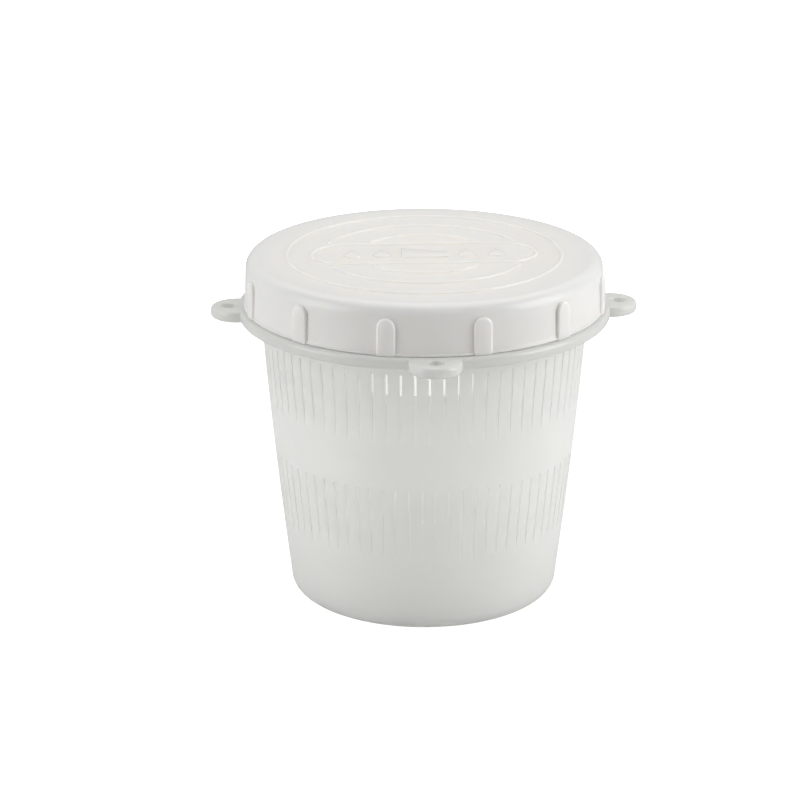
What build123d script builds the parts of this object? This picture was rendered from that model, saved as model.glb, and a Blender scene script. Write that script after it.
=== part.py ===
from build123d import *
import os
from math import cos, radians, sin

os.makedirs("parts", exist_ok=True)

# A small moulded cheese mold: a slotted pot with four eared tabs, a screw lid with grip
# ribs, and the soft ring that the lid closes on. Millimetres, +Z up. The origin is the
# centre of the face that the pot stands on, and the tabs point along X and Y.

# Pot wall
wall_height = 88.9        # standing face to the underside of the flange
wall_top_radius = 50.1    # outer wall where it meets the flange
wall_taper = 9.3          # how much smaller the outer wall is at the standing face
wall_bulge = 0.6          # how far the wall bows out of a straight taper at mid height
wall = 1.4
corner_radius = 5.0       # round between the wall and the standing face

# Floor
floor = 1.8
foot_height = 1.2         # the floor sits this far above the standing face
foot_width = 3.0
drain_hole_radius = 1.25
drain_pitch = 9.0         # from the centre hole to the first ring of holes, and ring to ring
drain_margin = 3.0        # least space between a hole's centre and the foot

# Whey slots: straight grooves cut to one radius, so that the tapered wall opens at
# the top of each slot and the slot runs out at its foot
slot_count = 72
slot_width = 0.7
slot_margin = 3.8         # flange to the upper slots
upper_slot_length = 22.6
lower_slot_length = 23.5
slot_band_gap = 15.1      # plain wall between the two bands

# Flange and tabs
flange_lip = 2.0          # how far the flange stands out from the lid's skirt
flange_thickness = 3.6
flange_round = 1.2
tab_count = 4
tab_radius = 8.0
tab_length = 8.4          # tip of a tab beyond the flange
tab_hole_radius = 2.3
tab_hole_offset = 2.6     # hole's centre beyond the flange

# Neck and thread
neck_step = 1.5           # the neck is this much bigger in radius than the wall's top
neck_wall = 1.8
neck_height = 12.0        # above the flange
rim_round = 0.5
thread_starts = 4
thread_lead = 12.0        # rise in one full turn
thread_height = 1.25
thread_root = 1.5         # width at the root
thread_crest = 0.7        # width at the crest
thread_sink = 0.4         # how deep a thread's root is buried
neck_thread_start = 3.7   # first turn's centre above the flange
neck_thread_span = 130.0  # degrees
lid_thread_span = 70.0
lid_thread_turn = 20.0    # the lid's thread starts this far round from the neck's
thread_seat = 1.25        # the lid's thread sits this far under the neck's
thread_clearance = 0.35   # thread crest to the wall that faces it

# Lid
lid_gap = 0.4             # flange to the lid's lower edge
skirt_wall = 1.9          # at the lower edge
skirt_draft = 0.4         # the skirt is this much smaller at the top
lid_top = 1.8
edge_round = 3.8
bead_width = 0.9
bead_proud = 0.4
grip_count = 12
grip_width = 5.6
grip_height = 11.4
grip_proud = 1.0
grip_turn = 15.0          # the nearest grip rib stands this far from a tab
plug_clearance = 0.5      # lid's centring ring inside the neck
plug_wall = 1.4
plug_depth = 2.6

# Marks on the lid
ring_count = 3
ring_inset = 8.9          # outer ring's centre from the start of the rounded edge
ring_pitch = 10.7
ring_width = 1.3
ring_proud = 0.5
plate_inset = 7.0         # plate's end to the outer ring's centre
plate_height = 22.0
plate_rim = 1.3
plate_gap = 1.2           # free space between the plate and the rings it interrupts

# Rim seal
seal_thickness = 1.5
seal_gap = 0.1            # above and below the seal
seal_side_gap = 0.3       # inside and outside it

# Worked out from the sizes above
base_radius = wall_top_radius - wall_taper
foot_outer = base_radius - corner_radius
foot_inner = foot_outer - foot_width
floor_top = foot_height + floor
upper_slot_top = wall_height - slot_margin
upper_slot_foot = upper_slot_top - upper_slot_length
lower_slot_top = upper_slot_foot - slot_band_gap
lower_slot_foot = lower_slot_top - lower_slot_length
quarter_pitch = 360 / slot_count / 4
slot_bands = [
    (lower_slot_foot, lower_slot_top, quarter_pitch),
    (upper_slot_foot, upper_slot_top, -quarter_pitch),
]
flange_top = wall_height + flange_thickness
neck_radius = wall_top_radius + neck_step
neck_bore = neck_radius - neck_wall
rim_height = flange_top + neck_height
lid_bore = neck_radius + thread_height + thread_clearance
skirt_radius = lid_bore + skirt_wall
skirt_top_radius = skirt_radius - skirt_draft
skirt_foot = flange_top + lid_gap
lid_underside = rim_height + seal_thickness + 2 * seal_gap
lid_face = lid_underside + lid_top
plug_radius = neck_bore - plug_clearance
flange_radius = skirt_radius + flange_lip
tab_centre = flange_radius + tab_length - tab_radius
tab_hole_circle = flange_radius + tab_hole_offset
outer_ring = skirt_top_radius - edge_round - ring_inset
ring_radii = [outer_ring - ring_pitch * index for index in range(ring_count)]
plate_length = 2 * (outer_ring - plate_inset)
thread_flank = (thread_root - thread_crest) / 2


def wall_radius(height):
    """Outer radius of the pot's wall at a height."""
    share = height / wall_height
    taper = base_radius + (wall_top_radius - base_radius) * share
    return taper + 4 * wall_bulge * share * (1 - share)


def thread_rib(root_radius, outward, start_height, span):
    """One thread start: a trapezoid swept up a helix, its root buried in its wall."""
    side = 1 if outward else -1
    sunk = root_radius - side * thread_sink
    crest = root_radius + side * thread_height
    widen = thread_flank * thread_sink / thread_height
    with BuildPart() as rib:
        with BuildLine():
            path = Helix(thread_lead, thread_lead * span / 360, sunk, (0, 0, start_height))
        with BuildSketch(Plane(path @ 0, x_dir=(1, 0, 0), z_dir=path % 0)):
            with BuildLine():
                Polyline(
                    (0, -thread_root / 2 - widen),
                    (crest - sunk, -thread_crest / 2),
                    (crest - sunk, thread_crest / 2),
                    (0, thread_root / 2 + widen),
                    close=True,
                )
            make_face()
        sweep(is_frenet=True)
    return rib.part


# The pot: wall, floor, flange, tabs and threaded neck are one moulding
with BuildPart() as pot:
    with BuildSketch(Plane.XZ) as wall_section:
        with BuildLine():
            ThreePointArc(
                (base_radius, 0),
                (wall_radius(wall_height / 2), wall_height / 2),
                (wall_top_radius, wall_height),
            )
            Polyline((wall_top_radius, wall_height), (0, wall_height), (0, 0), (base_radius, 0))
        make_face()
        fillet(wall_section.vertices().group_by(Axis.Y)[0].sort_by(Axis.X)[-1], corner_radius)
    revolve(axis=Axis.Z)
    with BuildSketch(Plane.XY):
        Circle(foot_inner)
    extrude(amount=foot_height, mode=Mode.SUBTRACT)

    # Flange with its tabs
    with BuildSketch(Plane.XY.offset(wall_height)) as flange_outline:
        Circle(flange_radius)
        with PolarLocations(tab_centre, tab_count):
            Circle(tab_radius)
    extrude(amount=flange_thickness)
    fillet(
        pot.edges().filter_by(
            lambda e: min(abs(e.center().Z - wall_height), abs(e.center().Z - flange_top)) < 0.01
            and e.bounding_box().size.Z < 0.01
            and (Vertex(*(e @ 0.5)).distance_to(Vertex(0, 0, (e @ 0.5).Z)) > flange_radius - 0.01)
        ),
        flange_round,
    )
    with BuildSketch(Plane.XY.offset(flange_top)):
        Circle(neck_radius)
    extrude(amount=neck_height)

    # Cavity
    inner_corner = corner_radius - wall
    with BuildSketch(Plane.XZ) as cavity_section:
        with BuildLine():
            ThreePointArc(
                (wall_radius(floor_top) - wall, floor_top),
                (wall_radius((floor_top + wall_height) / 2) - wall, (floor_top + wall_height) / 2),
                (wall_top_radius - wall, wall_height),
            )
            Polyline(
                (wall_top_radius - wall, wall_height),
                (neck_bore, flange_top),
                (neck_bore, rim_height),
                (0, rim_height),
                (0, floor_top),
                (wall_radius(floor_top) - wall, floor_top),
            )
        make_face()
        fillet(cavity_section.vertices().group_by(Axis.Y)[0].sort_by(Axis.X)[-1], inner_corner)
    revolve(axis=Axis.Z, mode=Mode.SUBTRACT)
    fillet(pot.edges().filter_by(GeomType.CIRCLE).group_by(Axis.Z)[-1], rim_round)

    # Tab holes
    with BuildSketch(Plane.XY.offset(wall_height)):
        with PolarLocations(tab_hole_circle, tab_count):
            Circle(tab_hole_radius)
    extrude(amount=flange_thickness, mode=Mode.SUBTRACT)

    # Floor drain holes
    with BuildSketch(Plane.XY):
        Circle(drain_hole_radius)
        for ring in range(1, int((foot_inner - drain_margin) / drain_pitch) + 1):
            with PolarLocations(ring * drain_pitch, 6 * ring):
                Circle(drain_hole_radius)
    extrude(amount=floor_top, mode=Mode.SUBTRACT)

    # Whey slots, two bands half a slot pitch apart
    for slot_foot, slot_top, slot_turn in slot_bands:
        groove_floor = wall_radius(slot_foot)
        groove_depth = wall_radius(slot_top) - groove_floor + wall
        with BuildSketch(Plane.XY.offset(slot_foot)):
            with PolarLocations(groove_floor + groove_depth / 2, slot_count, slot_turn):
                Rectangle(groove_depth, slot_width)
        extrude(amount=slot_top - slot_foot, mode=Mode.SUBTRACT)

    # Neck thread
    neck_rib = thread_rib(neck_radius, True, flange_top + neck_thread_start, neck_thread_span)
    with PolarLocations(0, thread_starts):
        add(neck_rib)

# The moulding goes out as three solids that meet face to face: the base up to the floor's
# upper face, the slotted wall, and the collar of flange, tabs and neck
with BuildPart() as pot_base:
    add(pot.part)
    split(bisect_by=Plane.XY.offset(floor_top), keep=Keep.BOTTOM)

pot_base.part.label = "pot_base"

with BuildPart() as pot_wall:
    add(pot.part)
    split(bisect_by=Plane.XY.offset(floor_top), keep=Keep.TOP)
    split(bisect_by=Plane.XY.offset(wall_height), keep=Keep.BOTTOM)

pot_wall.part.label = "pot_wall"

with BuildPart() as pot_collar:
    add(pot.part)
    split(bisect_by=Plane.XY.offset(wall_height), keep=Keep.TOP)

pot_collar.part.label = "pot_collar"

# The lid: one moulding
with BuildPart() as screw_lid:
    with BuildSketch(Plane.XZ) as lid_section:
        with BuildLine():
            Polyline(
                (0, skirt_foot),
                (skirt_radius, skirt_foot),
                (skirt_top_radius, lid_face),
                (0, lid_face),
                close=True,
            )
        make_face()
        fillet(lid_section.vertices().group_by(Axis.Y)[-1].sort_by(Axis.X)[-1], edge_round)
    revolve(axis=Axis.Z)

    # Bead along the lower edge
    with BuildSketch(Plane.XY.offset(skirt_foot)):
        Circle(skirt_radius + bead_proud)
        Circle(skirt_radius - bead_proud, mode=Mode.SUBTRACT)
    extrude(amount=bead_width)

    # Grip ribs: flat pads with an arched top
    pad_planes = []
    for grip in range(grip_count):
        turn = radians(grip_turn + grip * 360 / grip_count)
        out = Vector(cos(turn), sin(turn), 0)
        pad_origin = out * (lid_bore + grip_proud / 2) + Vector(0, 0, skirt_foot)
        pad_planes.append(Plane(pad_origin, x_dir=(-out.Y, out.X, 0), z_dir=out))
    with BuildSketch(*pad_planes):
        with Locations((0, (grip_height - grip_width / 2) / 2)):
            Rectangle(grip_width, grip_height - grip_width / 2)
        with Locations((0, grip_height - grip_width / 2)):
            Circle(grip_width / 2)
    extrude(amount=skirt_radius + grip_proud - lid_bore - grip_proud / 2)

    # Bore and underside
    with BuildSketch(Plane.XY.offset(skirt_foot)):
        Circle(lid_bore)
    extrude(amount=lid_underside - skirt_foot, mode=Mode.SUBTRACT)
    with BuildSketch(Plane.XY.offset(rim_height - plug_depth)):
        Circle(plug_radius)
        Circle(plug_radius - plug_wall, mode=Mode.SUBTRACT)
    extrude(amount=lid_underside - rim_height + plug_depth)

    # Raised rings, the inner two broken by the plate
    with BuildSketch(Plane.XY.offset(lid_face)):
        for ring_radius in ring_radii:
            Circle(ring_radius + ring_width / 2)
            Circle(ring_radius - ring_width / 2, mode=Mode.SUBTRACT)
        SlotOverall(
            plate_length + 2 * plate_gap,
            plate_height + 2 * plate_gap,
            mode=Mode.SUBTRACT,
        )
        SlotOverall(plate_length, plate_height)
        SlotOverall(plate_length - 2 * plate_rim, plate_height - 2 * plate_rim, mode=Mode.SUBTRACT)
    extrude(amount=ring_proud)

    # Thread
    lid_rib_height = (
        flange_top + neck_thread_start + thread_lead * lid_thread_turn / 360 - thread_seat
    )
    lid_rib = thread_rib(lid_bore, False, lid_rib_height, lid_thread_span)
    with PolarLocations(0, thread_starts, lid_thread_turn):
        add(lid_rib)

screw_lid.part.label = "screw_lid"

# The seal ring that the lid closes on the pot's rim
with BuildPart() as rim_seal:
    with BuildSketch(Plane.XY.offset(rim_height + seal_gap)):
        Circle(lid_bore - seal_side_gap)
        Circle(plug_radius + seal_side_gap, mode=Mode.SUBTRACT)
    extrude(amount=seal_thickness)

rim_seal.part.label = "rim_seal"

for piece in (pot_base, pot_wall, pot_collar, screw_lid, rim_seal):
    export_step(piece.part, f"parts/{piece.part.label}.step")
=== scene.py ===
from math import atan2, cos, degrees, pi, radians, sin, sqrt

import bmesh
import bpy
from bmesh.types import BMEdge, BMFace, BMVert
from mathutils import Matrix, Vector


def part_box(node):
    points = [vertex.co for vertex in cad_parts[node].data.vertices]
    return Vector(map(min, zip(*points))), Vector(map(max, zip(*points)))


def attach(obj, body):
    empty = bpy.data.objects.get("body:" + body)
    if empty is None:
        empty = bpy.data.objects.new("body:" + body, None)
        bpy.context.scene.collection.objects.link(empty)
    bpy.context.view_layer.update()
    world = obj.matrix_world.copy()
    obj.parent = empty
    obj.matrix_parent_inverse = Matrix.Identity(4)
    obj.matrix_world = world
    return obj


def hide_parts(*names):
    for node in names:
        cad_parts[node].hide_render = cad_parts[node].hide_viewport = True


# A small cheese mold: a slotted pot in milky natural polypropylene, a white screw lid with
# grip ribs, and the soft ring that the lid closes on. Metres, +Z up, pot axis at the origin.

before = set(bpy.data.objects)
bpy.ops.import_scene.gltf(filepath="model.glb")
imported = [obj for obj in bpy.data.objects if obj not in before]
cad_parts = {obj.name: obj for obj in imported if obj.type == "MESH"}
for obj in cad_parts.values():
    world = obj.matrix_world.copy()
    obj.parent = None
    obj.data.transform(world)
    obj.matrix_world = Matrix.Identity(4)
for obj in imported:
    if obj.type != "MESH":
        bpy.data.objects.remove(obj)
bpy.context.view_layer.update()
mm = 0.001
weldDistance = 0.002 * mm
creaseAngle = radians(32)  # edges that turn further than this stay sharp

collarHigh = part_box("pot_collar")[1]
lidLow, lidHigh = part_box("screw_lid")
sealLow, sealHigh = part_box("rim_seal")


# Helpers

def hexColour(code):
    # an sRGB hex value as linear red, green, blue, alpha
    channels = [int(code[i:i + 2], 16) / 255 for i in (0, 2, 4)]
    linear = [c / 12.92 if c <= 0.04045 else ((c + 0.055) / 1.055) ** 2.4 for c in channels]
    return (*linear, 1.0)


def addNode(tree, kind, settings=None, **links):
    # adds a node, sets its properties and sockets, and links what is given by socket name
    node = tree.nodes.new(kind)
    for name, value in (settings or {}).items():
        if name in node.inputs:
            node.inputs[name].default_value = value
        else:
            setattr(node, name, value)
    for name, source in links.items():
        tree.links.new(source, node.inputs[name.replace("_", " ")])
    return node


def newMaterial(name):
    material = bpy.data.materials.new(name)
    material.use_nodes = True
    tree = material.node_tree
    tree.nodes.clear()
    output = tree.nodes.new("ShaderNodeOutputMaterial")
    return material, tree, output


def ringPoint(radius, turn, height):
    return Vector((radius * cos(turn), radius * sin(turn), height))


def onlyOf(kind, items):
    # the vertices, edges or faces among what an operator gives back
    return [item for item in items if isinstance(item, kind)]


def smoothMesh(mesh):
    mesh.shade_smooth()
    mesh.set_sharp_from_angle(angle=creaseAngle)


def finishPiece(bm, name, material):
    # merges doubles, turns the faces outward and makes the bmesh an object
    bmesh.ops.remove_doubles(bm, verts=bm.verts, dist=weldDistance)
    bmesh.ops.recalc_face_normals(bm, faces=bm.faces)
    mesh = bpy.data.meshes.new(name)
    bm.to_mesh(mesh)
    bm.free()
    smoothMesh(mesh)
    piece = bpy.data.objects.new(name, mesh)
    bpy.context.scene.collection.objects.link(piece)
    mesh.materials.append(material)
    return piece


def latheProfile(bm, points, steps, closed=True):
    # spins a list of (radius, height) points right round the Z axis
    verts = [bm.verts.new((r, 0, z)) for r, z in points]
    edges = [bm.edges.new(pair) for pair in zip(verts, verts[1:])]
    if closed:
        edges.append(bm.edges.new((verts[-1], verts[0])))
    bmesh.ops.spin(
        bm, geom=verts + edges, cent=(0, 0, 0), axis=(0, 0, 1), angle=2 * pi,
        steps=steps, use_merge=True, use_duplicate=False,
    )


def arcPoints(centreR, centreZ, radius, start, end, count):
    # points along a round stretch of a profile, angles in degrees from +R towards +Z
    return [
        (
            centreR + radius * cos(radians(start + (end - start) * i / count)),
            centreZ + radius * sin(radians(start + (end - start) * i / count)),
        )
        for i in range(count + 1)
    ]


def mergeInto(bm, other):
    # copies one bmesh into another and frees it
    mesh = bpy.data.meshes.new("part")
    other.to_mesh(mesh)
    other.free()
    bm.from_mesh(mesh)
    bpy.data.meshes.remove(mesh)


def turnRound(bm, verts, angle):
    # turns vertices about the pot's axis, angle in radians
    bmesh.ops.rotate(bm, verts=verts, cent=(0, 0, 0), matrix=Matrix.Rotation(angle, 3, "Z"))


def extrudeFaces(bm, faces, move):
    # makes faces a closed block, as long as move, and gives back its far faces
    made = bmesh.ops.extrude_face_region(bm, geom=faces, use_keep_orig=True)["geom"]
    bmesh.ops.translate(bm, verts=onlyOf(BMVert, made), vec=move)
    bmesh.ops.recalc_face_normals(bm, faces=bm.faces)
    return onlyOf(BMFace, made)


def roundEdges(bm, edges, radius, segments):
    bmesh.ops.bevel(
        bm, geom=edges, affect="EDGES", offset=radius * mm, segments=segments,
        profile=0.5, material=-1, offset_type="OFFSET",
    )


def placeAlong(vert, radius, startTurn, span, taper):
    # degrees from a rib's start to a vertex, and the rib's share of its full size there
    turn = (degrees(atan2(vert.co.y, vert.co.x)) - startTurn) % 360
    turn = turn - 360 if turn > 350 else turn
    fromEnd = max(0.0, min(turn, span - turn)) * radians(1) * radius / taper
    return turn, sqrt(1 - (1 - min(fromEnd, 1)) ** 2)


def combine(piece, tool, operation):
    # one boolean of a tool mesh, applied at once, and the tool removed
    modifier = piece.modifiers.new("join", "BOOLEAN")
    modifier.operation = operation
    modifier.solver = "MANIFOLD"
    modifier.object = tool
    depsgraph = bpy.context.evaluated_depsgraph_get()
    mesh = bpy.data.meshes.new_from_object(piece.evaluated_get(depsgraph))
    old = piece.data
    name = old.name
    piece.modifiers.clear()
    piece.data = mesh
    bpy.data.meshes.remove(old)
    mesh.name = name
    bpy.data.objects.remove(tool)


# Camera: low and long, as the mold is seen from a little above its lid

cameraView = {
    "turn": -3.3,            # degrees round from -Y
    "distance": 977.6 * mm,  # level distance from the pot's axis
    "height": 393.7 * mm,
    "tilt": 18.81,           # degrees down
    "swing": 0.435,          # degrees aside
    "lens": 149.8, "sensor": 36,
    "clip": (0.05, 20),      # metres
}


def makeCamera():
    camera = bpy.data.objects.new("camera", bpy.data.cameras.new("camera"))
    bpy.context.scene.collection.objects.link(camera)
    turn = radians(cameraView["turn"])
    camera.location = (
        cameraView["distance"] * sin(turn),
        -cameraView["distance"] * cos(turn),
        cameraView["height"],
    )
    camera.rotation_euler = (
        radians(90 - cameraView["tilt"]), 0, turn + radians(cameraView["swing"])
    )
    camera.data.lens = cameraView["lens"]
    camera.data.sensor_width = cameraView["sensor"]
    camera.data.clip_start, camera.data.clip_end = cameraView["clip"]
    bpy.context.scene.camera = camera


makeCamera()
print("camera placed")


# Materials

def naturalPolypropylene(name, tones, roughness, lightThrough):
    # Natural polypropylene, injection moulded. It is milky and lets light through, so the
    # wall glows softly, under a satin gloss with a fine grain. The slots stand out bright partly by
    # that light and partly by painted light, from the paler tones that the slots are given.
    material, tree, output = newMaterial(name)
    place = addNode(tree, "ShaderNodeTexCoord")
    flowWidth = 18.0  # mm across the faint clouds that the melt leaves
    cloud = addNode(
        tree, "ShaderNodeTexNoise",
        {"Scale": 1 / (flowWidth * mm), "Detail": 3.0, "Roughness": 0.55},
        Vector=place.outputs["Object"],
    )
    tint = addNode(
        tree, "ShaderNodeMix",
        {"data_type": "RGBA", "A": hexColour(tones[0]), "B": hexColour(tones[1])},
        Factor=cloud.outputs["Fac"],
    )
    sparkGrain = 0.8  # mm between the grains, about twice the real size so that it shows
    grain = addNode(
        tree, "ShaderNodeTexNoise", {"Scale": 1 / (sparkGrain * mm), "Detail": 2.0},
        Vector=place.outputs["Object"],
    )
    relief = addNode(
        tree, "ShaderNodeBump", {"Strength": 0.10, "Distance": 0.03 * mm},
        Height=grain.outputs["Fac"],
    )
    uneven = 0.04  # roughness either side of the middle
    sheen = addNode(
        tree, "ShaderNodeMapRange", {"To Min": roughness - uneven, "To Max": roughness + uneven},
        Value=cloud.outputs["Fac"],
    )
    shader = addNode(
        tree, "ShaderNodeBsdfPrincipled", {"IOR": 1.49, "Specular IOR Level": 0.8},
        Base_Color=tint.outputs["Result"], Normal=relief.outputs["Normal"],
        Roughness=sheen.outputs["Result"],
    )
    through = addNode(tree, "ShaderNodeBsdfTranslucent", Color=tint.outputs["Result"])
    both = addNode(tree, "ShaderNodeMixShader", {"Fac": lightThrough})
    tree.links.new(shader.outputs["BSDF"], both.inputs[1])
    tree.links.new(through.outputs["BSDF"], both.inputs[2])
    tree.links.new(both.outputs["Shader"], output.inputs["Surface"])
    return material


def whitePolypropylene():
    # White-pigmented polypropylene, injection moulded in a polished cavity: nearly opaque,
    # with a soft gloss and a faint warm cast where it is in shade.
    material, tree, output = newMaterial("white polypropylene, polished moulding")
    place = addNode(tree, "ShaderNodeTexCoord")
    flowWidth = 25.0  # mm across the faint clouds in the pigment
    cloud = addNode(
        tree, "ShaderNodeTexNoise", {"Scale": 1 / (flowWidth * mm), "Detail": 2.0},
        Vector=place.outputs["Object"],
    )
    tint = addNode(
        tree, "ShaderNodeMix",
        {"data_type": "RGBA", "A": hexColour("f2f0ec"), "B": hexColour("f6f4f1")},
        Factor=cloud.outputs["Fac"],
    )
    toolMarks = 2.4  # mm between the shallow waves that polishing left in the cavity
    waves = addNode(
        tree, "ShaderNodeTexNoise", {"Scale": 1 / (toolMarks * mm), "Detail": 1.0},
        Vector=place.outputs["Object"],
    )
    relief = addNode(
        tree, "ShaderNodeBump", {"Strength": 0.05, "Distance": 0.05 * mm},
        Height=waves.outputs["Fac"],
    )
    shader = addNode(
        tree, "ShaderNodeBsdfPrincipled",
        {
            "Roughness": 0.24, "IOR": 1.49, "Subsurface Weight": 1.0,
            "Subsurface Scale": 1.5 * mm, "Subsurface Radius": (1.0, 0.93, 0.85),
        },
        Base_Color=tint.outputs["Result"], Normal=relief.outputs["Normal"],
    )
    tree.links.new(shader.outputs["BSDF"], output.inputs["Surface"])
    return material


def milkySilicone():
    # Food-grade silicone, pressed in a mould: soft, matt and faintly blue-white.
    material, tree, output = newMaterial("milky silicone, pressed")
    place = addNode(tree, "ShaderNodeTexCoord")
    cloudWidth = 2.5  # mm across the faint clouds in the rubber
    cloud = addNode(
        tree, "ShaderNodeTexNoise", {"Scale": 1 / (cloudWidth * mm), "Detail": 2.0},
        Vector=place.outputs["Object"],
    )
    tint = addNode(
        tree, "ShaderNodeMix",
        {"data_type": "RGBA", "A": hexColour("dfe3e4"), "B": hexColour("e9ecec")},
        Factor=cloud.outputs["Fac"],
    )
    shader = addNode(
        tree, "ShaderNodeBsdfPrincipled",
        {
            "Roughness": 0.5, "IOR": 1.41, "Subsurface Weight": 1.0,
            "Subsurface Scale": 2.0 * mm, "Subsurface Radius": (1.0, 1.0, 1.0),
        },
        Base_Color=tint.outputs["Result"],
    )
    tree.links.new(shader.outputs["BSDF"], output.inputs["Surface"])
    return material


# The wall took the grain of an eroded cavity. The flange, tabs and neck are thicker and came
# from a polished one, so they look greyer, clearer and glossier. The web that a slot leaves
# is thin, so it lets the most light through. The web and the groove's sides also get paler
# tones than the wall: painted light that lifts the shade in the slots.
naturalPlastic = naturalPolypropylene(
    "natural polypropylene, spark-eroded moulding", ("f5f5f4", "fafaf8"), 0.32, 0.42
)
thickPlastic = naturalPolypropylene(
    "natural polypropylene, polished thick moulding", ("f3f3f0", "f8f8f5"), 0.17, 0.30
)
# the slot material: its paler tones are painted light that brightens the shaded grooves
slotPaintedLightPlastic = naturalPolypropylene(
    "natural polypropylene, thin web in a slot", ("fafaf8", "fdfdfb"), 0.40, 0.70
)
potPlastics = [naturalPlastic, thickPlastic, slotPaintedLightPlastic]  # in the order of material indices
whitePlastic = whitePolypropylene()
silicone = milkySilicone()
print("materials made")


# The pot. Its wall is turned in 432 steps, six to each slot, so a slot is one step wide

pot = {
    "steps": 432,
    "wallHeight": 88.9, "baseRadius": 40.8, "topRadius": 50.1, "bulge": 0.6, "wall": 1.4,
    "corner": 5.0, "floor": 1.8, "footHeight": 1.2, "footWidth": 3.0, "footRound": 0.4,
    "flangeRadius": 57.1, "flangeThickness": 3.6, "flangeRound": 1.2,
    "neckRadius": 51.6, "neckWall": 1.8, "rimRound": 0.5,
    "chamfer": 0.3, "flangeFillet": 0.6,
    "lowSlots": (24.0, 47.5, 1), "highSlots": (62.5, 85.1, 4),  # foot, top, step of six
    "tabs": 4, "tabRadius": 8.0, "tabReach": 65.5, "tabRound": 1.2, "tabSink": 0.03,
    "tabRoot": 53.5,  # radius at which a tab starts, inside the flange
    "holeRadius": 2.3, "holeCircle": 59.7, "holeFlare": 0.6,
    "drainRadius": 1.25, "drainRings": ((9.0, 6), (18.0, 12), (27.0, 18)),  # radius, holes
    # rows of vertices that only part the long faces: heights on the wall, radii elsewhere
    "lowRow": 14.0, "blankRows": (52.5, 57.5), "topRows": (86.9, 88.3),
    "flangeRow": 54.0, "floorRows": (30.0, 15.0),
}
thread = {
    "starts": 4, "lead": 12.0, "height": 1.25, "root": 1.5, "crest": 0.7, "sink": 0.4,
    "neckStart": 3.7, "neckSpan": 130.0, "lidSpan": 70.0, "lidTurn": 20.0, "seat": 1.25,
    "taper": 4.0,
}
rimHeight = collarHigh.z / mm
flangeTop = pot["wallHeight"] + pot["flangeThickness"]
neckBore = pot["neckRadius"] - pot["neckWall"]


def wallRadius(height):
    share = height / pot["wallHeight"]
    taper = pot["baseRadius"] + (pot["topRadius"] - pot["baseRadius"]) * share
    return taper + 4 * pot["bulge"] * share * (1 - share)


def heightWhere(radius, low, high):
    # the height at which the outer wall has this radius
    for _ in range(40):
        middle = (low + high) / 2
        low, high = (middle, high) if wallRadius(middle) < radius else (low, middle)
    return (low + high) / 2


def slotRows(foot, top):
    # heights of the rows of faces in one band of slots, with one where the wall opens
    opening = heightWhere(wallRadius(foot) + pot["wall"], foot, top)
    rows = [foot + (opening - foot) * i / 5 for i in range(6)]
    return rows + [opening + (top - opening) * i / 3 for i in range(1, 4)]


def potProfile():
    wall, corner = pot["wall"], pot["corner"]
    footOuter = pot["baseRadius"] - corner
    footInner = footOuter - pot["footWidth"]
    footRound, footHeight, chamfer = pot["footRound"], pot["footHeight"], pot["chamfer"]
    rows = [corner + 2, pot["lowRow"], *slotRows(*pot["lowSlots"][:2])]
    rows += [*pot["blankRows"], *slotRows(*pot["highSlots"][:2]), *pot["topRows"]]
    points = [(0, footHeight), (footInner * 0.5, footHeight), (footInner - footRound, footHeight)]
    points += arcPoints(footInner - footRound, footHeight - footRound, footRound, 90, 0, 2)
    points += [(footInner, chamfer), (footInner + chamfer, 0), (footOuter, 0)]
    cornerTop = wallRadius(corner)
    points += [
        (
            footOuter + (cornerTop - footOuter) * sin(radians(a)),
            corner * (1 - cos(radians(a))),
        )
        for a in range(9, 91, 9)
    ]
    points += [(wallRadius(z), z) for z in rows]
    flangeRadius, flangeRound = pot["flangeRadius"], pot["flangeRound"]
    points += [(pot["topRadius"] + pot["flangeFillet"], pot["wallHeight"])]
    points += [(pot["flangeRow"], pot["wallHeight"])]
    points += arcPoints(
        flangeRadius - flangeRound, pot["wallHeight"] + flangeRound, flangeRound, -90, 0, 6
    )
    points += arcPoints(flangeRadius - flangeRound, flangeTop - flangeRound, flangeRound, 0, 90, 6)
    neck, rimRound = pot["neckRadius"], pot["rimRound"]
    points += [(pot["flangeRow"], flangeTop), (neck + chamfer, flangeTop)]
    points += [(neck, flangeTop + chamfer)]
    points += arcPoints(neck - rimRound, rimHeight - rimRound, rimRound, 0, 90, 4)
    points += arcPoints(neckBore + rimRound, rimHeight - rimRound, rimRound, 90, 180, 4)
    points += [(neckBore, flangeTop)]
    points += [(wallRadius(z) - wall, z) for z in rows[::-1]]
    floorTop = footHeight + pot["floor"]
    innerCorner = corner - wall
    innerTop = wallRadius(floorTop + innerCorner) - wall
    points += [
        (
            innerTop - innerCorner + innerCorner * cos(radians(a)),
            floorTop + innerCorner - innerCorner * sin(radians(a)),
        )
        for a in range(0, 91, 15)
    ]
    points += [(r, floorTop) for r in (*pot["floorRows"], 0)]
    return [(r * mm, z * mm) for r, z in points]


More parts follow.
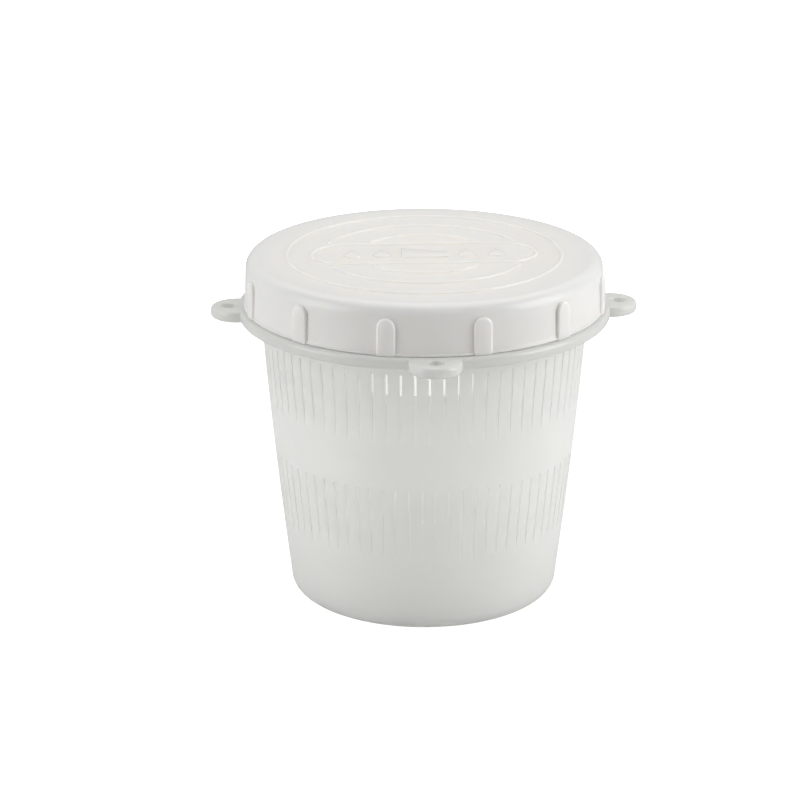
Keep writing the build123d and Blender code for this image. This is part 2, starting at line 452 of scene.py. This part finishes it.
def cutSlots(bm, foot, top, column):
    # sinks one column of faces in six to a straight groove, and opens it where it meets the bore
    step = 2 * pi / pot["steps"]
    grooveFloor = wallRadius(foot)
    opening = heightWhere(grooveFloor + pot["wall"], foot, top)
    outer, openInner = [], []
    for face in bm.faces:
        centre = face.calc_center_median()
        height = centre.z / mm
        if not foot < height < top:
            continue
        if int((atan2(centre.y, centre.x) % (2 * pi)) / step) % 6 != column:
            continue
        if centre.xy.length / mm > wallRadius(height) - pot["wall"] / 2:
            outer.append(face)
        elif height > opening:
            openInner.append(face)
    bmesh.ops.delete(bm, geom=openInner, context="FACES")
    sunk = bmesh.ops.extrude_face_region(bm, geom=outer)["geom"]
    bmesh.ops.delete(bm, geom=outer, context="FACES")
    floorFaces = onlyOf(BMFace, sunk)
    # the groove's floor and sides take the paler slot material: painted light that lifts their shade
    for vert in onlyOf(BMVert, sunk):
        for face in vert.link_faces:
            face.material_index = potPlastics.index(slotPaintedLightPlastic)
        height = vert.co.z / mm
        radius = max(grooveFloor, wallRadius(height) - pot["wall"])
        vert.co.xy *= radius * mm / vert.co.xy.length
    through = [face for face in floorFaces if face.calc_center_median().z / mm > opening]
    bmesh.ops.delete(bm, geom=through, context="FACES")


def helicalRib(bm, radius, outward, startHeight, startTurn, span):
    # a trapezoid section wound up the thread's helix, thinned to nothing at both ends
    side = 1 if outward else -1
    widen = (thread["root"] - thread["crest"]) / 2 * thread["sink"] / thread["height"]
    section = [
        (-thread["sink"], -thread["root"] / 2 - widen), (thread["height"], -thread["crest"] / 2),
        (thread["height"], thread["crest"] / 2), (-thread["sink"], thread["root"] / 2 + widen),
    ]
    verts = [bm.verts.new(((radius + side * d) * mm, 0, (startHeight + z) * mm)) for d, z in section]
    face = bm.faces.new(verts)
    steps = int(span / 2)
    rise = thread["lead"] * span / 360 / steps * mm
    turnRound(bm, verts, radians(startTurn))
    before = set(bm.verts) - set(verts)
    bmesh.ops.spin(
        bm, geom=[face] + verts + list(face.edges), cent=(0, 0, 0), axis=(0, 0, 1),
        dvec=(0, 0, rise), angle=radians(span), steps=steps, use_merge=False,
    )
    for vert in set(bm.verts) - before:
        turn, share = placeAlong(vert, radius, startTurn, span, thread["taper"])
        middle = startHeight + thread["lead"] * turn / 360
        proud = side * (vert.co.xy.length / mm - radius)
        thinned = proud if proud < 0 else proud * share - 0.05 * (1 - share)
        vert.co.xy *= (radius + side * thinned) * mm / vert.co.xy.length
        vert.co.z = (middle + (vert.co.z / mm - middle) * (0.25 + 0.75 * share)) * mm


def tabTools(bm):
    # four rounded half-discs that grow out of the flange
    sink = pot["tabSink"]
    for index in range(pot["tabs"]):
        turn = 2 * pi * index / pot["tabs"]
        disc = bmesh.new()
        bmesh.ops.create_circle(disc, cap_ends=True, segments=72, radius=pot["tabRadius"] * mm)
        bmesh.ops.translate(
            disc, verts=disc.verts,
            vec=((pot["tabReach"] - pot["tabRadius"]) * mm, 0, (pot["wallHeight"] + sink) * mm),
        )
        extrudeFaces(disc, disc.faces[:], (0, 0, (pot["flangeThickness"] - 2 * sink) * mm))
        edges = [e for e in disc.edges if abs(e.verts[0].co.z - e.verts[1].co.z) < 0.1 * mm]
        roundEdges(disc, edges, pot["tabRound"], 6)
        cut = bmesh.ops.bisect_plane(
            disc, geom=disc.verts[:] + disc.edges[:] + disc.faces[:],
            plane_co=(pot["tabRoot"] * mm, 0, 0), plane_no=(-1, 0, 0), clear_outer=True,
        )["geom_cut"]
        bmesh.ops.contextual_create(disc, geom=onlyOf(BMEdge, cut))
        turnRound(disc, disc.verts, turn)
        mergeInto(bm, disc)


def holeTools(bm):
    # flared pins for the tab holes, and plain pins for the floor's drain holes
    flare, radius = pot["holeFlare"], pot["holeRadius"]
    low, high = pot["wallHeight"] + pot["tabSink"], flangeTop - pot["tabSink"]
    past = 1.0  # how far a pin stands past what it cuts
    profile = [(0, low - past), (radius + flare, low - past), (radius + flare, low)]
    profile += arcPoints(radius + flare, low + flare, flare, -90, -180, 4)[1:]
    profile += arcPoints(radius + flare, high - flare, flare, 180, 90, 4)
    profile += [(radius + flare, high + past), (0, high + past)]
    for index in range(pot["tabs"]):
        pin = bmesh.new()
        latheProfile(pin, [(r * mm, z * mm) for r, z in profile], 48, closed=False)
        bmesh.ops.remove_doubles(pin, verts=pin.verts, dist=weldDistance)
        centre = ringPoint(pot["holeCircle"] * mm, 2 * pi * index / pot["tabs"], 0)
        bmesh.ops.translate(pin, verts=pin.verts, vec=centre)
        mergeInto(bm, pin)
    spots = [(0, 0)]
    for ring, count in pot["drainRings"]:
        spots += [
            (ring * cos(2 * pi * i / count), ring * sin(2 * pi * i / count)) for i in range(count)
        ]
    floorMiddle = pot["footHeight"] + pot["floor"] / 2
    for x, y in spots:
        pin = bmesh.new()
        bmesh.ops.create_cone(
            pin, cap_ends=True, segments=20, radius1=pot["drainRadius"] * mm,
            radius2=pot["drainRadius"] * mm, depth=6 * mm,
        )
        bmesh.ops.translate(pin, verts=pin.verts, vec=(x * mm, y * mm, floorMiddle * mm))
        mergeInto(bm, pin)
    bmesh.ops.recalc_face_normals(bm, faces=bm.faces)


def makePot():
    bm = bmesh.new()
    latheProfile(bm, potProfile(), pot["steps"], closed=False)
    bmesh.ops.remove_doubles(bm, verts=bm.verts, dist=weldDistance)
    bmesh.ops.recalc_face_normals(bm, faces=bm.faces)
    cutSlots(bm, *pot["lowSlots"])
    cutSlots(bm, *pot["highSlots"])
    body = finishPiece(bm, "pot_shell", potPlastics[0])
    for plastic in potPlastics[1:]:
        body.data.materials.append(plastic)
    added = bmesh.new()
    tabTools(added)
    for start in range(thread["starts"]):
        helicalRib(
            added, pot["neckRadius"], True, flangeTop + thread["neckStart"],
            360 * start / thread["starts"], thread["neckSpan"],
        )
    combine(body, finishPiece(added, "pot_additions", naturalPlastic), "UNION")
    holes = bmesh.new()
    holeTools(holes)
    combine(body, finishPiece(holes, "pot_holes", naturalPlastic), "DIFFERENCE")
    smoothMesh(body.data)
    for face in body.data.polygons:
        if face.center.z > (pot["wallHeight"] - 0.1) * mm:
            face.material_index = potPlastics.index(thickPlastic)
    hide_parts("pot_base", "pot_wall", "pot_collar")
    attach(body, "mold")
    print("pot made:", len(body.data.polygons), "faces")


makePot()


# The lid

lid = {
    "steps": 360,
    "skirtRadius": 55.1, "draft": 0.4, "edgeRound": 3.8, "top": 1.8,
    "clearance": 0.35, "beadProud": 0.4, "beadHeight": 0.9,
    "grips": 12, "gripWidth": 5.6, "gripHeight": 11.4, "gripProud": 0.7, "gripTurn": 15.0,
    "gripRound": 0.68, "footDrop": 0.3, "plugClearance": 0.5, "plugWall": 1.4, "plugDepth": 2.6,
    "rings": (42.0, 31.3, 20.6), "ringWidth": 1.3, "ringProud": 0.5, "ringSink": 0.4,
    "plateLength": 70.0, "plateHeight": 22.0, "plateRim": 1.3, "plateGap": 1.2, "plateSteps": 64,
    "drops": (-22.0, -13.0, 13.0, 22.0), "dropSize": 3.0, "dropLow": -1.0,  # places along X
    "wedge": ((-7.0, -4.5), (7.0, -4.5), (7.0, 1.0), (-7.0, 5.0)), "markRound": 0.3,
    # rows of vertices that only part the long faces: radii on top, shares of the skirt's height
    "faceRows": (10.0, 20.0, 30.0, 40.0, 46.0), "skirtRows": (0.8, 0.55, 0.3, 0.12),
    "undersideRow": 30.0,
}
skirtFoot = lidLow.z / mm - lid["footDrop"]
lidFace = lidHigh.z / mm - lid["ringProud"]
lidUnderside = lidFace - lid["top"]
lidBore = pot["neckRadius"] + thread["height"] + lid["clearance"]
plugRadius = neckBore - lid["plugClearance"]


def lidProfile():
    top, foot = lidFace, skirtFoot
    edge, outer = lid["edgeRound"], lid["skirtRadius"] - lid["draft"]
    bead, beadHeight = lid["beadProud"], lid["beadHeight"]
    points = [(r, top) for r in (0, *lid["faceRows"])]
    points += arcPoints(outer - edge, top - edge, edge, 90, 0, 12)
    skirtHeight = top - edge - foot
    points += [
        (lid["skirtRadius"] - lid["draft"] * s, foot + skirtHeight * s) for s in lid["skirtRows"]
    ]
    points += [(lid["skirtRadius"] + 0.02, foot + beadHeight + 0.15)]
    points += arcPoints(lid["skirtRadius"], foot + beadHeight / 2, bead, 60, -60, 6)
    points += [(lid["skirtRadius"] - 0.2, foot), (lidBore + 0.2, foot), (lidBore, foot + 0.2)]
    points += [(lidBore, foot + 4), (lidBore, foot + 8), (lidBore, lidUnderside - 0.3)]
    points += [(lidBore - 0.3, lidUnderside), (plugRadius + 0.2, lidUnderside)]
    plugInner = plugRadius - lid["plugWall"]
    plugFoot = rimHeight - lid["plugDepth"]
    points += [(plugRadius, lidUnderside - 0.2), (plugRadius, plugFoot + 0.3)]
    points += [(plugRadius - 0.4, plugFoot), (plugInner + 0.3, plugFoot)]
    points += [(plugInner, plugFoot + 0.3), (plugInner, lidUnderside - 0.3)]
    points += [(plugInner - 0.3, lidUnderside), (lid["undersideRow"], lidUnderside)]
    points += [(0, lidUnderside)]
    return [(r * mm, z * mm) for r, z in points]


def gripTools(bm):
    # arch-topped pads that stand a little proud of the skirt, sharp only at their feet
    width, height = lid["gripWidth"], lid["gripHeight"]
    inner = lidBore + 0.6
    depth = lid["skirtRadius"] + lid["gripProud"] - inner
    arch = [(width / 2, 0.02)] + arcPoints(0, height - width / 2, width / 2, 0, 180, 18)
    arch += [(-width / 2, 0.02)]
    for index in range(lid["grips"]):
        turn = radians(lid["gripTurn"] + 360 * index / lid["grips"])
        pad = bmesh.new()
        verts = [pad.verts.new((inner * mm, y * mm, (skirtFoot + z) * mm)) for y, z in arch]
        front = extrudeFaces(pad, [pad.faces.new(verts)], (depth * mm, 0, 0))[0]
        foot = (skirtFoot + 0.1) * mm
        edges = [e for e in front.edges if max(v.co.z for v in e.verts) > foot]
        roundEdges(pad, edges, lid["gripRound"], 4)
        turnRound(pad, pad.verts, turn)
        mergeInto(bm, pad)


def beadSection(bm, radius):
    # the round-topped section of a raised line on the lid, buried a little in its face
    half, proud, sink = lid["ringWidth"] / 2, lid["ringProud"], lid["ringSink"]
    points = [(half * cos(radians(a)), proud * sin(radians(a))) for a in range(0, 181, 20)]
    points += [(-half, -sink), (half, -sink)]
    verts = [bm.verts.new(((radius + x) * mm, 0, (lidFace + z) * mm)) for x, z in points]
    return bm.faces.new(verts)


def raisedArc(bm, radius, startTurn, span):
    # part of a raised ring, drawn in to a rounded tip at both ends
    arc = bmesh.new()
    face = beadSection(arc, radius)
    turnRound(arc, arc.verts, radians(startTurn))
    steps = max(12, int(span / 1.5))
    bmesh.ops.spin(
        arc, geom=arc.verts[:] + arc.edges[:] + [face], cent=(0, 0, 0), axis=(0, 0, 1),
        angle=radians(span), steps=steps, use_merge=False,
    )
    for vert in arc.verts:
        share = 0.15 + 0.85 * placeAlong(vert, radius, startTurn, span, lid["ringWidth"])[1]
        length = vert.co.xy.length / mm
        vert.co.xy *= (radius + (length - radius) * share) / length
        above = vert.co.z / mm - lidFace
        if above > 0:
            vert.co.z = (lidFace + above * share) * mm
    mergeInto(bm, arc)


def fullRing(radius, steps, startTurn=0.0):
    # a whole raised ring, as a bmesh of its own
    ring = bmesh.new()
    face = beadSection(ring, radius)
    bmesh.ops.delete(ring, geom=[face], context="FACES_ONLY")
    turnRound(ring, ring.verts, startTurn)
    bmesh.ops.spin(
        ring, geom=ring.verts[:] + ring.edges[:], cent=(0, 0, 0), axis=(0, 0, 1), angle=2 * pi,
        steps=steps, use_merge=True,
    )
    return ring


def raisedRings(bm):
    # the outer ring is whole, and the plate breaks the others
    full, *broken = lid["rings"]
    mergeInto(bm, fullRing(full, lid["steps"]))
    reach = lid["plateHeight"] / 2 + lid["plateGap"] + lid["ringWidth"] / 2
    straight = (lid["plateLength"] - lid["plateHeight"]) / 2
    for radius in broken:
        start = degrees(atan2(reach, sqrt(radius ** 2 - reach ** 2)))
        if radius * cos(radians(start)) > straight:
            start = endClearOfPlate(radius, straight, reach)
        for side in (0, 180):
            raisedArc(bm, radius, side + start, 180 - 2 * start)


def endClearOfPlate(radius, straight, reach):
    # turn at which a ring comes clear of the plate's round end
    turn = 0.0
    while (ringPoint(radius, radians(turn), 0) - Vector((straight, 0, 0))).length < reach:
        turn += 0.25
    return turn


def plateRim(bm):
    # a raised stadium outline: a small ring pulled apart lengthwise
    steps = lid["plateSteps"]
    rim = fullRing((lid["plateHeight"] - lid["plateRim"]) / 2, steps, pi / steps)
    straight = (lid["plateLength"] - lid["plateHeight"]) / 2 * mm
    for vert in rim.verts:
        vert.co.x += straight if vert.co.x > 0 else -straight
    mergeInto(bm, rim)


def raisedShape(bm, outline):
    # a closed outline in the lid's plane, raised with a rounded edge, just lower than the rings
    shape = bmesh.new()
    base = lidFace - lid["ringSink"]
    face = shape.faces.new([shape.verts.new((x * mm, y * mm, base * mm)) for x, y in outline])
    rise = (lid["ringSink"] + lid["ringProud"] - 0.05) * mm
    topFace = extrudeFaces(shape, [face], (0, 0, rise))[0]
    roundEdges(shape, list(topFace.edges), lid["markRound"], 3)
    mergeInto(bm, shape)


def dropOutline(centreX, centreY, size):
    # a milk drop: a circle whose top is drawn up to a point
    outline, count = [], 28
    for index in range(count):
        turn = 2 * pi * index / count
        pinch = (1 + sin(turn)) / 2
        outline.append((
            centreX + size * cos(turn) * (1 - pinch ** 3),
            centreY + size * sin(turn) * (1 + 0.55 * pinch ** 3),
        ))
    return outline


def makeLid():
    bm = bmesh.new()
    latheProfile(bm, lidProfile(), lid["steps"], closed=False)
    body = finishPiece(bm, "lid_shell", whitePlastic)
    added = bmesh.new()
    gripTools(added)
    raisedRings(added)
    plateRim(added)
    for x in lid["drops"]:
        raisedShape(added, dropOutline(x, lid["dropLow"], lid["dropSize"]))
    raisedShape(added, lid["wedge"])
    ribRise = thread["lead"] * thread["lidTurn"] / 360
    for start in range(thread["starts"]):
        helicalRib(
            added, lidBore, False, flangeTop + thread["neckStart"] + ribRise - thread["seat"],
            thread["lidTurn"] + 360 * start / thread["starts"], thread["lidSpan"],
        )
    combine(body, finishPiece(added, "lid_additions", whitePlastic), "UNION")
    smoothMesh(body.data)
    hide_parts("screw_lid")
    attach(body, "lid")
    print("lid made:", len(body.data.polygons), "faces")


makeLid()


# The rim seal

seal = {"steps": 180, "sideRound": 0.35, "plugGap": 0.3}


def makeSeal():
    low, high = sealLow.z / mm, sealHigh.z / mm
    outer = sealHigh.x / mm
    inner = plugRadius + seal["plugGap"]
    r = seal["sideRound"]
    points = arcPoints(outer - r, high - r, r, 90, 0, 4)
    points += arcPoints(outer - r, low + r, r, 0, -90, 4)
    points += arcPoints(inner + r, low + r, r, -90, -180, 4)
    points += arcPoints(inner + r, high - r, r, 180, 90, 4)
    bm = bmesh.new()
    latheProfile(bm, [(x * mm, z * mm) for x, z in points], seal["steps"])
    piece = finishPiece(bm, "seal_ring", silicone)
    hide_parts("rim_seal")
    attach(piece, "seal")
    print("seal made")


makeSeal()


# Floor, world and lights: a white tent, dim and a little warm on the camera's side, and
# brighter behind the mold

studio = {
    "floorSize": 12.0, "floorPaint": 0.75, "floorGlow": 0.9,
    "tentColour": (0.97, 0.99, 1.0, 1), "tentStrength": 0.39,
    "frontColour": (1.0, 0.90, 0.74, 1), "frontStrength": 0.05,
    "backColour": (0.98, 0.99, 1.0, 1), "backStrength": 0.5,
    # how far back in the tent each side fades, -1 being the camera's way and 1 straight behind
    "frontEdge": (-0.95, -0.25), "backEdge": (0.25, 0.95),
    # each softbox: place in metres, width and height, power in watts
    "leftSoftbox": ((-0.85, -0.30, 0.35), (0.6, 0.8), 3.8),
    "rightSoftbox": ((0.85, -0.25, 0.35), (0.6, 0.8), 5.3),
    "topSoftbox": ((0.0, 0.25, 0.85), (1.1, 0.9), 3.0),
    # a small lamp in the closed pot, whose light comes out through the slots and the wall:
    # place, radius, watts
    "insideLamp": ((0.0, 0.0, 0.055), 0.02, 0.044),
    "aim": (0.0, 0.0, 0.06),  # what the softboxes face
}


def makeFloor():
    bm = bmesh.new()
    bmesh.ops.create_grid(bm, x_segments=1, y_segments=1, size=studio["floorSize"] / 2)
    mesh = bpy.data.meshes.new("floor")
    bm.to_mesh(mesh)
    bm.free()
    floorObject = bpy.data.objects.new("floor", mesh)
    bpy.context.scene.collection.objects.link(floorObject)
    material, tree, output = newMaterial("white studio sweep")
    tone = studio["floorPaint"]
    paint = addNode(tree, "ShaderNodeBsdfDiffuse", {"Color": (tone, tone, tone, 1)})
    glow = addNode(
        tree, "ShaderNodeEmission", {"Color": (1, 1, 1, 1), "Strength": studio["floorGlow"]}
    )
    both = addNode(tree, "ShaderNodeAddShader")
    tree.links.new(paint.outputs[0], both.inputs[0])
    tree.links.new(glow.outputs[0], both.inputs[1])
    ray = addNode(tree, "ShaderNodeLightPath")
    pick = addNode(tree, "ShaderNodeMixShader", Fac=ray.outputs["Is Camera Ray"])
    tree.links.new(paint.outputs[0], pick.inputs[1])
    tree.links.new(both.outputs[0], pick.inputs[2])
    tree.links.new(pick.outputs[0], output.inputs["Surface"])
    mesh.materials.append(material)


def makeWorld():
    world = bpy.data.worlds.new("studio")
    world.use_nodes = True
    tree = world.node_tree
    tree.nodes.clear()
    output = tree.nodes.new("ShaderNodeOutputWorld")
    place = addNode(tree, "ShaderNodeTexCoord")
    axes = addNode(tree, "ShaderNodeSeparateXYZ", Vector=place.outputs["Generated"])
    frontFade, backFade = [
        addNode(
            tree, "ShaderNodeMapRange",
            {"interpolation_type": "SMOOTHSTEP", "From Min": near, "From Max": far},
            Value=axes.outputs["Y"],
        )
        for near, far in (studio["frontEdge"], studio["backEdge"])
    ]
    front, tent, back = [
        addNode(
            tree, "ShaderNodeBackground",
            {"Color": studio[side + "Colour"], "Strength": studio[side + "Strength"]},
        )
        for side in ("front", "tent", "back")
    ]
    mixed = addNode(tree, "ShaderNodeMixShader", Fac=frontFade.outputs["Result"])
    tree.links.new(front.outputs[0], mixed.inputs[1])
    tree.links.new(tent.outputs[0], mixed.inputs[2])
    whole = addNode(tree, "ShaderNodeMixShader", Fac=backFade.outputs["Result"])
    tree.links.new(mixed.outputs[0], whole.inputs[1])
    tree.links.new(back.outputs[0], whole.inputs[2])
    tree.links.new(whole.outputs[0], output.inputs["Surface"])
    bpy.context.scene.world = world


def makeLight(name, place, size, power):
    light = bpy.data.lights.new(name, "AREA")
    light.shape = "RECTANGLE"
    light.size, light.size_y = size
    light.energy = power
    lamp = bpy.data.objects.new(name, light)
    lamp.location = place
    aim = Vector(studio["aim"]) - Vector(place)
    lamp.rotation_euler = aim.to_track_quat("-Z", "Y").to_euler()
    bpy.context.scene.collection.objects.link(lamp)


def makeInsideLamp():
    place, radius, power = studio["insideLamp"]
    light = bpy.data.lights.new("insideLamp", "POINT")
    light.shadow_soft_size = radius
    light.energy = power
    lamp = bpy.data.objects.new("insideLamp", light)
    lamp.location = place
    lamp.visible_camera = False
    bpy.context.scene.collection.objects.link(lamp)


makeFloor()
makeWorld()
makeInsideLamp()
for name in ("leftSoftbox", "rightSoftbox", "topSoftbox"):
    makeLight(name, *studio[name])
bpy.context.scene.view_settings.view_transform = "Standard"
print("studio made")
